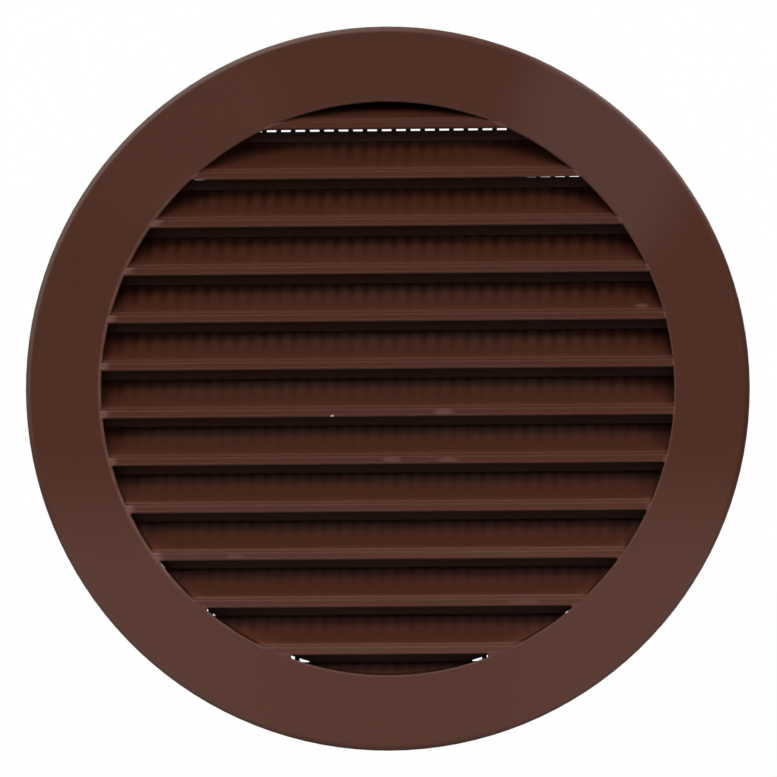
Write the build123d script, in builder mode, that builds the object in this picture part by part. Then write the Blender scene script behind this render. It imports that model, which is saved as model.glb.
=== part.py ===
import os
from math import atan2, cos, floor, pi, sin, sqrt, tan

from build123d import *

os.makedirs("parts", exist_ok=True)

# Duct and collar
duct_bore = 125.0
duct_clearance = 0.5
collar_wall = 1.5
collar_length = 20.0
collar_lead = 0.6

# Flange plate
opening_lip = 1.1
flange_width = 15.6
flange_thickness = 2.5
flange_edge_round = 1.2
flange_edge_flats = 4
window_edge_bevel = 0.3
window_corner_round = 0.45

# Louvre slats: a front bar flush with the flange, a step and a slope behind it and an upstand at the rear
slat_pitch = 9.85
bar_height = 1.66
slope_start = 0.8
slope_step = 0.5
slope_step_bevel = 0.25
slope_wall = 1.4
slat_depth = 9.0
upstand_wall = 1.2
upstand_height = 2.1
sight_overlap = 0.27
top_slat_lift = 0.4

# The second bar's lower edge bows up towards its ends
bow_radius = 3500.0
bow_offset = -4.0
bow_dip = 0.066

# Insect guard: upright bars across the back of the upstands
guard_pitch = 3.0
guard_bar_width = 1.0
guard_bar_depth = 1.0

# Upstand ends stand clear of the collar along the bottom
drain_gap = 1.45

# Overlap of pieces that run into one another
bite = 0.3

collar_radius = duct_bore / 2 - duct_clearance
collar_inner_radius = collar_radius - collar_wall
opening_radius = collar_inner_radius - opening_lip
flange_radius = opening_radius + flange_width
trim_radius = collar_inner_radius + bite

# Heights of the front bars' lower edges, from the top down, placed evenly about the axis
pairs = floor((opening_radius - bar_height / 2) / slat_pitch + 0.5)
levels = [(pairs - 0.5 - i) * slat_pitch - bar_height / 2 for i in range(2 * pairs)]
lifts = [top_slat_lift if i == 0 else 0.0 for i in range(2 * pairs)]
closing_level = levels[-1] - slat_pitch
slat_levels = [level + lift for level, lift in zip(levels, lifts)] + [closing_level]

# Slope of a slat, as heights above its bar's lower edge at a depth behind the flange's front
upstand_top = slat_pitch + sight_overlap
upstand_base = upstand_top - upstand_height
slope_foot = bar_height + slope_step
slope = atan2(upstand_base - slope_foot, slat_depth - slope_start)
slope_drop = slope_wall / cos(slope)
slope_bevel_end = slope_start + slope_step_bevel * cos(slope)
upstand_rear = slat_depth + upstand_wall


def slope_top(depth):
    return slope_foot + (depth - slope_start) * tan(slope)


def slope_under(depth):
    return slope_top(depth) - slope_drop


def section_plane(level):
    return Plane((0, -flange_thickness, level), x_dir=(0, 1, 0), z_dir=(1, 0, 0))


# Slopes of the slats
with BuildPart() as slopes:
    for level in slat_levels:
        with BuildSketch(section_plane(level)):
            with BuildLine():
                Polyline(
                    (slope_start, slope_under(slope_start)),
                    (slope_start, slope_foot - slope_step_bevel),
                    (slope_bevel_end, slope_top(slope_bevel_end)),
                    (slat_depth, upstand_base),
                    (upstand_rear, upstand_base),
                    (upstand_rear, slope_under(upstand_rear)),
                    close=True,
                )
            make_face()
        extrude(amount=trim_radius, both=True)
    with BuildSketch(Plane.XZ):
        Circle(trim_radius)
    extrude(amount=collar_length, both=True, mode=Mode.INTERSECT)

# Upstands at the slats' rear
with BuildPart() as upstands:
    for level in slat_levels:
        with BuildSketch(section_plane(level)):
            with Locations((slat_depth, upstand_base - bite)):
                Rectangle(upstand_wall, upstand_height + bite, align=(Align.MIN, Align.MIN))
        extrude(amount=trim_radius, both=True)
    with BuildSketch(Plane.XZ):
        Circle(trim_radius)
        with Locations((0, drain_gap + bite)):
            Circle(trim_radius, mode=Mode.INTERSECT)
    extrude(amount=collar_length, both=True, mode=Mode.INTERSECT)

# Insect-guard bars
guard_pairs = floor((collar_inner_radius - guard_bar_width) / guard_pitch + 0.5)
with BuildPart() as guard:
    with BuildSketch(Plane.XZ.offset(flange_thickness - upstand_rear)):
        with GridLocations(guard_pitch, 0, 2 * guard_pairs, 1):
            Rectangle(guard_bar_width, 2 * trim_radius)
        Circle(trim_radius, mode=Mode.INTERSECT)
    extrude(amount=-guard_bar_depth)


# Rounding of the flange's outer front edge, as radius and depth at an angle round from the front
def edge_point(angle):
    inset = flange_edge_round * (1 - sin(angle))
    depth = flange_edge_round * (1 - cos(angle))
    return (flange_radius - inset, depth - flange_thickness)


# Window corners under the bars below the axis
def under_low_bar(corner):
    nearest = min(abs(corner.Y - level) for level in slat_levels[:-1])
    return corner.Y < 0 and nearest < bite


# Flange plate with its front bars, the collar behind it and everything that runs into them
with BuildPart() as vent_grille:
    with BuildSketch(Plane.XZ):
        Circle(flange_radius)
        Circle(opening_radius, mode=Mode.SUBTRACT)
        for level in slat_levels[:-1]:
            near = min(abs(level), abs(level + bar_height))
            half_length = sqrt(opening_radius**2 - near**2) + bite
            with Locations((0, level + bar_height / 2)):
                Rectangle(2 * half_length, bar_height)
        low_corners = vertices().filter_by(under_low_bar)
        fillet(low_corners, radius=window_corner_round)
    extrude(amount=flange_thickness)
    window_edges = faces().sort_by(Axis.Y)[0].inner_wires().edges()
    chamfer(window_edges, length=window_edge_bevel)
    with BuildSketch(Plane.XZ):
        with Locations((0, slat_levels[1])):
            Rectangle(2 * opening_radius, bar_height / 2, align=(Align.CENTER, Align.MIN))
        with Locations((bow_offset, slat_levels[1] + bow_radius - bow_dip)):
            Circle(bow_radius, mode=Mode.SUBTRACT)
        Circle(opening_radius, mode=Mode.INTERSECT)
    extrude(amount=flange_thickness, mode=Mode.SUBTRACT)
    with BuildSketch(Plane.XY):
        with BuildLine():
            Polyline(
                *[edge_point(i * pi / 2 / flange_edge_flats) for i in range(flange_edge_flats + 1)],
                (flange_radius + bite, flange_edge_round - flange_thickness),
                (flange_radius + bite, -flange_thickness - bite),
                (flange_radius - flange_edge_round, -flange_thickness - bite),
                close=True,
            )
        make_face()
    revolve(axis=Axis.Y, mode=Mode.SUBTRACT)
    with BuildSketch(Plane.XZ):
        Circle(collar_radius)
        Circle(collar_inner_radius, mode=Mode.SUBTRACT)
    extrude(amount=-collar_length)
    rim_edges = edges().filter_by(GeomType.CIRCLE).group_by(Axis.Y)[-1]
    chamfer(rim_edges.sort_by(SortBy.RADIUS)[-1], length=collar_lead)
    add(slopes.part)
    add(upstands.part)
    add(guard.part)

vent_grille.part.label = "vent_grille"
export_step(vent_grille.part, "parts/vent_grille.step")
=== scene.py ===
import math

import bpy
from mathutils import Matrix, Vector


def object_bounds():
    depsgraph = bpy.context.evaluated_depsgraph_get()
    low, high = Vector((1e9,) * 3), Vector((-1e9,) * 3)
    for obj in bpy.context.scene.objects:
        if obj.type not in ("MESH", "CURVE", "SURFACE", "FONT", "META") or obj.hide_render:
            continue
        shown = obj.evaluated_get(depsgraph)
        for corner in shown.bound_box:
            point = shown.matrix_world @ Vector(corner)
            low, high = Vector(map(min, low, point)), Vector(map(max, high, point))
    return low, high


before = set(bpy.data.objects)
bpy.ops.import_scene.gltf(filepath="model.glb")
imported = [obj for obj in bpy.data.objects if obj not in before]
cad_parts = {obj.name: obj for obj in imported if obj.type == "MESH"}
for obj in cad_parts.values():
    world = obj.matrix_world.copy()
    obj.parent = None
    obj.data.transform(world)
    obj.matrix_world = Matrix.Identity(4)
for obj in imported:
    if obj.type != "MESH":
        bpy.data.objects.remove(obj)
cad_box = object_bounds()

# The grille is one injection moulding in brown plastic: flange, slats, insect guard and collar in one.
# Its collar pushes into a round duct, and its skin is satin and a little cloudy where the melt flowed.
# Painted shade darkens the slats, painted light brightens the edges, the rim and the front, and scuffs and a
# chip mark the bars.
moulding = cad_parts["vent_grille"]
plastic_brown = (0.064, 0.0197, 0.0110)
skin_specular = 0.08
# Colours for the haze with painted light, the painted reflection at the upper right, rubbed places with
# painted highlights and the rim's painted highlight
light_and_haze_colour = (0.108, 0.048, 0.0366, 1.0)
upper_right_reflection_colour = (0.108, 0.053, 0.048, 1.0)
rubbed_and_highlight_colour = (0.165, 0.085, 0.068, 1.0)
rim_highlight_colour = (0.140, 0.092, 0.078, 1.0)
chip_colour = (0.62, 0.50, 0.44, 1.0)
slat_pitch = 0.00985
slat_level = 0.004095
guard_pitch = 0.003
collar_inner_radius = 0.0605
flange_front = cad_box[0][1]
step_face = -0.0017
upstand_face = 0.0065

plastic = bpy.data.materials.new("brown_plastic")
plastic.use_nodes = True
plastic_tree = plastic.node_tree
plastic_shader = plastic_tree.nodes["Principled BSDF"]
plastic_place = plastic_tree.nodes.new("ShaderNodeTexCoord").outputs["Object"]


def plastic_math(operation, first, second=0.0):
    """One sum on two values, each a number or the output of an earlier step."""
    step = plastic_tree.nodes.new("ShaderNodeMath")
    step.operation = operation
    for socket, value in zip(step.inputs, (first, second)):
        if isinstance(value, (int, float)):
            socket.default_value = value
        else:
            plastic_tree.links.new(value, socket)
    return step.outputs[0]


def plastic_product(first, *others):
    """The product v1 v2 ... vn of several values."""
    result = first
    for value in others:
        result = plastic_math("MULTIPLY", result, value)
    return result


def plastic_most(first, *others):
    """The largest of several values, max(v1, v2, ... vn)."""
    result = first
    for value in others:
        result = plastic_math("MAXIMUM", result, value)
    return result


def plastic_rest(share):
    """What a share v leaves of the whole, 1 - v."""
    return plastic_math("SUBTRACT", 1.0, share)


def plastic_ramp(value, start, end, low=0.0, high=1.0):
    """A smooth step s(u) = low + (high - low) u u (3 - 2u), with u running from start to end."""
    step = plastic_tree.nodes.new("ShaderNodeMapRange")
    step.interpolation_type = "SMOOTHSTEP"
    step.inputs["From Min"].default_value = start
    step.inputs["From Max"].default_value = end
    step.inputs["To Min"].default_value = low
    step.inputs["To Max"].default_value = high
    plastic_tree.links.new(value, step.inputs["Value"])
    return step.outputs["Result"]


def plastic_noise(scale, detail):
    """Cloudy values about 0.5 over the moulding, finer with a larger scale."""
    step = plastic_tree.nodes.new("ShaderNodeTexNoise")
    step.inputs["Scale"].default_value = scale
    step.inputs["Detail"].default_value = detail
    plastic_tree.links.new(plastic_place, step.inputs["Vector"])
    return step.outputs["Fac"]


def plastic_spot(place, reach, strength):
    """A soft mark about a place: with r the length of (point - place) / reach, full to r = 0.5, gone at 1."""
    offset = plastic_tree.nodes.new("ShaderNodeVectorMath")
    offset.operation = "SUBTRACT"
    plastic_tree.links.new(plastic_place, offset.inputs[0])
    offset.inputs[1].default_value = place
    share = plastic_tree.nodes.new("ShaderNodeVectorMath")
    share.operation = "DIVIDE"
    plastic_tree.links.new(offset.outputs["Vector"], share.inputs[0])
    share.inputs[1].default_value = reach
    length = plastic_tree.nodes.new("ShaderNodeVectorMath")
    length.operation = "LENGTH"
    plastic_tree.links.new(share.outputs["Vector"], length.inputs[0])
    return plastic_ramp(length.outputs["Value"], 1.0, 0.5, 0.0, strength)


# Where a point lies: across, into the wall, up, out from the collar's axis, and on which part
plastic_axes = plastic_tree.nodes.new("ShaderNodeSeparateXYZ")
plastic_tree.links.new(plastic_place, plastic_axes.inputs[0])
across, inward, upward = plastic_axes.outputs
sideways = plastic_math("ABSOLUTE", across)
from_axis = plastic_math(
    "SQRT",
    plastic_math("ADD", plastic_math("POWER", across, 2.0), plastic_math("POWER", upward, 2.0)),
)
in_collar = plastic_ramp(from_axis, 0.0604, 0.0602)
in_window = plastic_ramp(from_axis, 0.0597, 0.0592)
on_flange = plastic_ramp(from_axis, 0.0592, 0.0600)
before_upstand = plastic_ramp(inward, upstand_face, 0.0063)

# Height above the lower edge of the slat's own bar, and a wave that peaks at each guard bar
slat_turn = plastic_math("DIVIDE", plastic_math("SUBTRACT", upward, slat_level), slat_pitch)
slat_height = plastic_math("MULTIPLY", plastic_math("FRACT", slat_turn), slat_pitch)
guard_turn = plastic_math("DIVIDE", plastic_math("SUBTRACT", across, guard_pitch / 2), guard_pitch)
guard_wave = plastic_math("COSINE", plastic_math("MULTIPLY", guard_turn, 2 * math.pi))

# Painted shade: dark streaks on the slopes below the guard bars, with a faint tail, and few at the ends of
# the top slopes
top_ends = plastic_product(
    plastic_ramp(upward, 0.0425, 0.0445),
    plastic_ramp(sideways, 0.008, 0.020, 0.0, 0.8),
)
guard_shade_share = plastic_product(
    plastic_ramp(slat_height, 0.0030, 0.0064),
    plastic_ramp(inward, 0.0006, 0.0020),
    plastic_ramp(upward, -0.005, 0.020, 0.53, 0.9),
    plastic_ramp(plastic_noise(110.0, 2.0), 0.36, 0.64, 0.60, 1.0),
    plastic_rest(top_ends),
    before_upstand,
    in_collar,
)
guard_shade_tail = plastic_product(
    plastic_ramp(inward, -0.0016, -0.0008),
    plastic_ramp(upward, -0.020, 0.016, 0.4, 1.0),
    plastic_ramp(guard_wave, -0.6, 0.9, -0.04, 0.08),
    plastic_rest(top_ends),
    before_upstand,
    in_collar,
)
guard_painted_shade = plastic_product(plastic_ramp(guard_wave, -0.6, 0.9, 1.07, 0.63), guard_shade_share)
guard_painted_shade = plastic_math("ADD", guard_painted_shade, plastic_rest(guard_shade_share))
guard_painted_shade = plastic_math("SUBTRACT", guard_painted_shade, guard_shade_tail)

# Painted shade at both ends of the slopes, wider towards the rear and heavier on the upper slats
end_margin = 0.0015
end_flare = 0.5
end_room = plastic_math("SUBTRACT", collar_inner_radius, from_axis)
end_width = plastic_math("MULTIPLY", plastic_math("SUBTRACT", inward, step_face), end_flare)
end_width = plastic_math("ADD", end_width, end_margin)
end_width = plastic_product(end_width, plastic_ramp(upward, 0.025, 0.048, 1.0, 1.7))
end_painted_shade = plastic_product(
    plastic_ramp(plastic_math("DIVIDE", end_room, end_width), 0.3, 1.1, 0.55, 0.0),
    plastic_ramp(upward, -0.035, 0.015, 0.08, 1.0),
    plastic_ramp(inward, -0.0016, -0.0010),
    before_upstand,
    in_collar,
)

# A painted highlight line and a painted shade line along the ring at the ends of the lower slopes, and a
# painted shade line above each bar
ring_draft = 0.04
ring_radius = plastic_math("MULTIPLY", plastic_math("SUBTRACT", inward, flange_front), ring_draft)
ring_radius = plastic_math("SUBTRACT", from_axis, ring_radius)
ring_painted_highlight = plastic_product(
    plastic_ramp(ring_radius, 0.0566, 0.0586),
    plastic_ramp(ring_radius, 0.0590, 0.0587, 0.0, 0.38),
)
ring_painted_shade = plastic_ramp(ring_radius, 0.0588, 0.0591, 0.0, 0.40)
ring_painted_lines = plastic_product(
    plastic_math("SUBTRACT", ring_painted_highlight, ring_painted_shade),
    plastic_ramp(upward, -0.008, -0.028),
    plastic_ramp(inward, -0.0019, -0.0016),
    before_upstand,
    in_collar,
)
step_painted_shade = plastic_product(
    plastic_ramp(slat_height, 0.0015, 0.0018),
    plastic_ramp(slat_height, 0.0022, 0.0019, 0.0, 0.11),
    plastic_ramp(inward, -0.0013, -0.0016),
    in_window,
)
painted_lines = plastic_math("ADD", plastic_rest(step_painted_shade), ring_painted_lines)

# A paler corner between slope and upstand, less pale below the guard bars so that the painted shade of the
# streaks stays
corner_pale = plastic_product(
    plastic_ramp(inward, 0.0045, 0.0062, 0.0, 0.5),
    plastic_ramp(inward, upstand_face, 0.0064),
    plastic_ramp(slat_height, 0.0080, 0.0078),
    plastic_ramp(guard_wave, -0.6, 0.9, 1.15, 0.45),
    in_collar,
)

# Painted highlights on the ring's inner edge and the bars' lower edges, and paler left ends of the bars, all
# at the front
ring_edge_highlight = plastic_product(
    plastic_ramp(from_axis, 0.0591, 0.0594),
    plastic_ramp(from_axis, 0.05985, 0.0596),
    plastic_ramp(upward, -0.055, -0.020, 0.1, 0.5),
)
bar_edge_highlight = plastic_product(plastic_ramp(slat_height, 0.00052, 0.00034, 0.0, 0.35), in_window)
bar_left_pale = plastic_product(
    plastic_ramp(from_axis, 0.0574, 0.0590, 0.0, 0.7),
    plastic_ramp(from_axis, 0.0602, 0.0596),
    plastic_ramp(across, -0.040, -0.046),
)
rubbed_and_highlights = plastic_product(
    plastic_most(ring_edge_highlight, bar_edge_highlight, bar_left_pale),
    plastic_ramp(inward, -0.0020, -0.0022),
    plastic_ramp(plastic_noise(420.0, 2.0), 0.25, 0.6, 0.5, 1.0),
)

# Scuffs on the bars, a smudge on a slope and a bright chip on the seventh bar's lower edge
for place, reach, strength in (
    ((0.0117, -0.0025, -0.0049), (0.0026, 0.0010, 0.0008), 0.45),
    ((0.0009, -0.0025, -0.0147), (0.0024, 0.0010, 0.0008), 0.40),
    ((0.0126, -0.0025, -0.0148), (0.0026, 0.0010, 0.0007), 0.35),
    ((0.0280, -0.0025, -0.0444), (0.0044, 0.0010, 0.0006), 0.30),
    ((-0.0317, -0.0025, -0.0345), (0.0022, 0.0010, 0.0007), 0.30),
    ((0.0172, -0.0025, -0.0345), (0.0300, 0.0010, 0.0013), 0.10),
    ((0.0528, -0.0008, 0.0168), (0.0016, 0.0020, 0.0007), 0.45),
    ((0.0541, -0.0025, -0.0246), (0.0007, 0.0010, 0.0004), 0.50),
    ((0.0573, -0.0025, -0.0150), (0.0007, 0.0010, 0.0004), 0.50),
):
    rubbed_and_highlights = plastic_most(rubbed_and_highlights, plastic_spot(place, reach, strength))
chip = plastic_spot((-0.0114, -0.0024, -0.00562), (0.0005, 0.0008, 0.0004), 1.0)

# Painted highlights on the outer rim at the upper left, upper right and lower corners, and painted shade on
# it at the right and bottom
rim = plastic_ramp(from_axis, 0.0738, 0.0742)
rim_lean = plastic_math("DIVIDE", plastic_math("SUBTRACT", upward, across), from_axis)
rim_upper_left_highlight = plastic_product(rim, plastic_ramp(rim_lean, 0.50, 1.40, 0.0, 0.75))
rim_upper_right_highlight = plastic_product(
    plastic_ramp(from_axis, 0.0742, 0.0745),
    plastic_spot((0.053, -0.0013, 0.053), (0.030, 0.0100, 0.030), 0.65),
)
rim_low_highlight = plastic_product(
    rim,
    plastic_ramp(upward, -0.020, -0.040),
    plastic_ramp(sideways, 0.015, 0.035, 0.1, 0.28),
)
rim_painted_highlight = plastic_most(rim_upper_left_highlight, rim_upper_right_highlight, rim_low_highlight)
rim_painted_shade = plastic_product(
    rim,
    plastic_most(plastic_ramp(across, 0.066, 0.072), plastic_ramp(upward, -0.066, -0.072)),
)

# Painted light on the front: thick low down, a painted reflection in the upper right, a paler patch in the
# upper left, a thin even haze elsewhere, thinner on the bars
thin_haze = 0.08
low_painted_light = plastic_product(
    plastic_ramp(upward, -0.004, -0.040),
    plastic_ramp(sideways, 0.015, 0.045, 0.53, 0.64),
)
upper_left_pale_patch = plastic_spot((-0.041, -0.0025, 0.053), (0.030, 0.0100, 0.030), 0.22)
upper_left_pale_patch = plastic_product(upper_left_pale_patch, on_flange)
upper_right_painted_reflection = plastic_spot((0.0445, -0.0025, 0.0500), (0.024, 0.0016, 0.032), 0.40)
upper_right_painted_reflection = plastic_product(upper_right_painted_reflection, on_flange)
bars_spared = plastic_product(
    plastic_most(plastic_ramp(upward, -0.052, -0.046, 0.0, 0.48), plastic_ramp(upward, -0.010, 0.010)),
    plastic_ramp(slat_height, 0.0019, 0.0017),
    plastic_rest(on_flange),
)
painted_light_and_haze = plastic_product(
    plastic_most(low_painted_light, upper_left_pale_patch, thin_haze),
    plastic_ramp(inward, -0.0010, -0.0018),
    plastic_rest(bars_spared),
)
# Painted light and haze, together with the paler corner
painted_light_haze_and_corner = plastic_most(painted_light_and_haze, corner_pale)

# Colour of the plastic: cloud, grain and painted shade, and over them haze and painted light, rubbed places
# and painted highlights, the rim's painted highlight and the chip
cloud = plastic_ramp(plastic_noise(60.0, 3.0), 0.3, 0.7, 0.98, 1.02)
grain = plastic_ramp(plastic_noise(900.0, 2.0), 0.3, 0.7, 0.97, 1.03)
shade = plastic_product(
    cloud,
    grain,
    guard_painted_shade,
    plastic_rest(end_painted_shade),
    painted_lines,
    plastic_ramp(rim_painted_shade, 0.0, 1.0, 1.0, 0.75),
)
tint = plastic_tree.nodes.new("ShaderNodeVectorMath")
tint.operation = "SCALE"
tint.inputs[0].default_value = plastic_brown
plastic_tree.links.new(shade, tint.inputs["Scale"])
plastic_colour = tint.outputs["Vector"]
for mark, colour in (
    (painted_light_haze_and_corner, light_and_haze_colour),
    (upper_right_painted_reflection, upper_right_reflection_colour),
    (rubbed_and_highlights, rubbed_and_highlight_colour),
    (rim_painted_highlight, rim_highlight_colour),
    (chip, chip_colour),
):
    cover = plastic_tree.nodes.new("ShaderNodeMix")
    cover.data_type = "RGBA"
    plastic_tree.links.new(mark, cover.inputs["Factor"])
    plastic_tree.links.new(plastic_colour, cover.inputs["A"])
    cover.inputs["B"].default_value = colour
    plastic_colour = cover.outputs["Result"]
plastic_tree.links.new(plastic_colour, plastic_shader.inputs["Base Color"])

# Satin skin, a little uneven, and duller on the outer rim
rim_dullness = 0.2
roughness = plastic_ramp(plastic_noise(160.0, 3.0), 0.3, 0.7, 0.30, 0.35)
roughness = plastic_math("ADD", roughness, plastic_math("MULTIPLY", rim, rim_dullness))
plastic_tree.links.new(roughness, plastic_shader.inputs["Roughness"])
plastic_shader.inputs["Specular IOR Level"].default_value = skin_specular
moulding.data.materials.clear()
moulding.data.materials.append(plastic)

# The floor is a flat painted board that the grille stands on by its rim, cut off a hand's width in front.
# It is white to the camera, to mirrors and to glass, and a mid grey to all other light.
# A trace of the grey paint is left in the white, which keeps the grille's shadow.
floor_side = 1.7
floor_front = -0.13
floor_level = cad_box[0][2]
floor_grey = (0.25, 0.25, 0.25, 1.0)
floor_roughness = 0.9
floor_whiteness = 0.985


def seen_directly(tree):
    """1 for rays from the camera, a mirror or glass, max of the three path flags, and 0 for other light."""
    path = tree.nodes.new("ShaderNodeLightPath")
    seen = path.outputs["Is Camera Ray"]
    for flag in ("Is Transmission Ray", "Is Glossy Ray"):
        step = tree.nodes.new("ShaderNodeMath")
        step.operation = "MAXIMUM"
        tree.links.new(seen, step.inputs[0])
        tree.links.new(path.outputs[flag], step.inputs[1])
        seen = step.outputs[0]
    return seen


floor_mesh = bpy.data.meshes.new("floor")
floor_mesh.from_pydata(
    [
        (-floor_side, floor_front, floor_level),
        (floor_side, floor_front, floor_level),
        (floor_side, floor_side, floor_level),
        (-floor_side, floor_side, floor_level),
    ],
    [],
    [(0, 1, 2, 3)],
)
floor = bpy.data.objects.new("floor", floor_mesh)
bpy.context.collection.objects.link(floor)
floor_paint = bpy.data.materials.new("floor_paint")
floor_paint.use_nodes = True
floor_tree = floor_paint.node_tree
floor_shader = floor_tree.nodes["Principled BSDF"]
floor_shader.inputs["Base Color"].default_value = floor_grey
floor_shader.inputs["Roughness"].default_value = floor_roughness
floor_share = floor_tree.nodes.new("ShaderNodeMath")
floor_share.operation = "MULTIPLY"
floor_share.inputs[1].default_value = floor_whiteness
floor_tree.links.new(seen_directly(floor_tree), floor_share.inputs[0])
floor_white = floor_tree.nodes.new("ShaderNodeEmission")
floor_white.inputs["Strength"].default_value = 1.0
floor_choose = floor_tree.nodes.new("ShaderNodeMixShader")
floor_tree.links.new(floor_share.outputs[0], floor_choose.inputs["Fac"])
floor_tree.links.new(floor_shader.outputs[0], floor_choose.inputs[1])
floor_tree.links.new(floor_white.outputs[0], floor_choose.inputs[2])
floor_tree.links.new(floor_choose.outputs[0], floor_tree.nodes["Material Output"].inputs["Surface"])
floor_mesh.materials.append(floor_paint)

# The studio is a plain white room, white to the camera, to mirrors and to glass.
# To all other light it is dim, a weak even fill, so that the lamps give the shape.
studio_fill_strength = 0.115
studio_white_strength = 1.0
studio = bpy.data.worlds.new("studio")
bpy.context.scene.world = studio
studio.use_nodes = True
studio_tree = studio.node_tree
studio_tree.nodes.clear()
studio_choose = studio_tree.nodes.new("ShaderNodeMixShader")
studio_tree.links.new(seen_directly(studio_tree), studio_choose.inputs["Fac"])
for socket, strength in ((1, studio_fill_strength), (2, studio_white_strength)):
    studio_light = studio_tree.nodes.new("ShaderNodeBackground")
    studio_light.inputs["Color"].default_value = (1.0, 1.0, 1.0, 1.0)
    studio_light.inputs["Strength"].default_value = strength
    studio_tree.links.new(studio_light.outputs[0], studio_choose.inputs[socket])
studio_sky = studio_tree.nodes.new("ShaderNodeOutputWorld")
studio_tree.links.new(studio_choose.outputs[0], studio_sky.inputs["Surface"])

# The lamps are softboxes: three in front with narrow beams, one at the back right and a wide one overhead.
# The front ones stand high and aim below the grille's foot, so the light thins out towards its top.
foot_aim = (0.0, 0.0, -0.22)


def softbox(name, place, aim, width, height, spread, power):
    """A rectangular lamp of a size in metres, at a place, facing a point, its beam spread in degrees."""
    lamp = bpy.data.lights.new(name, "AREA")
    lamp.shape = "RECTANGLE"
    lamp.size = width
    lamp.size_y = height
    lamp.spread = math.radians(spread)
    lamp.energy = power
    holder = bpy.data.objects.new(name, lamp)
    holder.location = place
    holder.rotation_euler = (Vector(aim) - Vector(place)).to_track_quat("-Z", "Y").to_euler()
    bpy.context.collection.objects.link(holder)


softbox("left_box", (-0.92, -0.95, 0.45), foot_aim, 0.6, 0.60, 60.0, 1.12)
softbox("right_box", (0.92, -0.95, 0.45), foot_aim, 0.6, 0.60, 60.0, 1.18)
softbox("middle_box", (0.0, -1.2, 0.57), foot_aim, 0.5, 0.76, 60.0, 0.72)
softbox("back_box", (0.6, 1.1, 0.6), (0.0, 0.0, 0.0), 0.6, 0.60, 60.0, 1.6)
softbox("top_box", (0.0, -0.16, 0.9), (0.0, -0.1, 0.0), 1.2, 0.4, 180.0, 4.8)

# The camera stands in front at 1.5 m, 46 mm to the right, and looks back at the middle of the picture.
# It is turned a hair so that the slats climb to the right.
photo_side = 777
flange_across_pixels = 725.0
flange_middle_pixel = (386.6, 388.1)
slat_climb = math.radians(0.45)
camera_distance = 1.5
camera_right = 0.046
flange_across = cad_box[1][0] - cad_box[0][0]
metres_per_pixel = flange_across / flange_across_pixels
image_middle = (photo_side - 1) / 2
lens = bpy.data.cameras.new("camera")
lens.sensor_width = 36.0
lens.lens = lens.sensor_width * camera_distance / (photo_side * metres_per_pixel)
camera = bpy.data.objects.new("camera", lens)
camera_swing = math.atan2(camera_right, camera_distance)
camera_turn = (
    Matrix.Rotation(camera_swing, 3, "Z")
    @ Matrix.Rotation(math.radians(90), 3, "X")
    @ Matrix.Rotation(-slat_climb, 3, "Z")
)
camera_aim = Vector((
    (image_middle - flange_middle_pixel[0]) * metres_per_pixel,
    flange_front,
    (flange_middle_pixel[1] - image_middle) * metres_per_pixel,
))
camera.location = camera_aim + camera_turn @ Vector((0.0, 0.0, camera_distance))
camera.rotation_euler = camera_turn.to_euler()
bpy.context.collection.objects.link(camera)
bpy.context.scene.camera = camera
bpy.context.scene.view_settings.view_transform = "Standard"
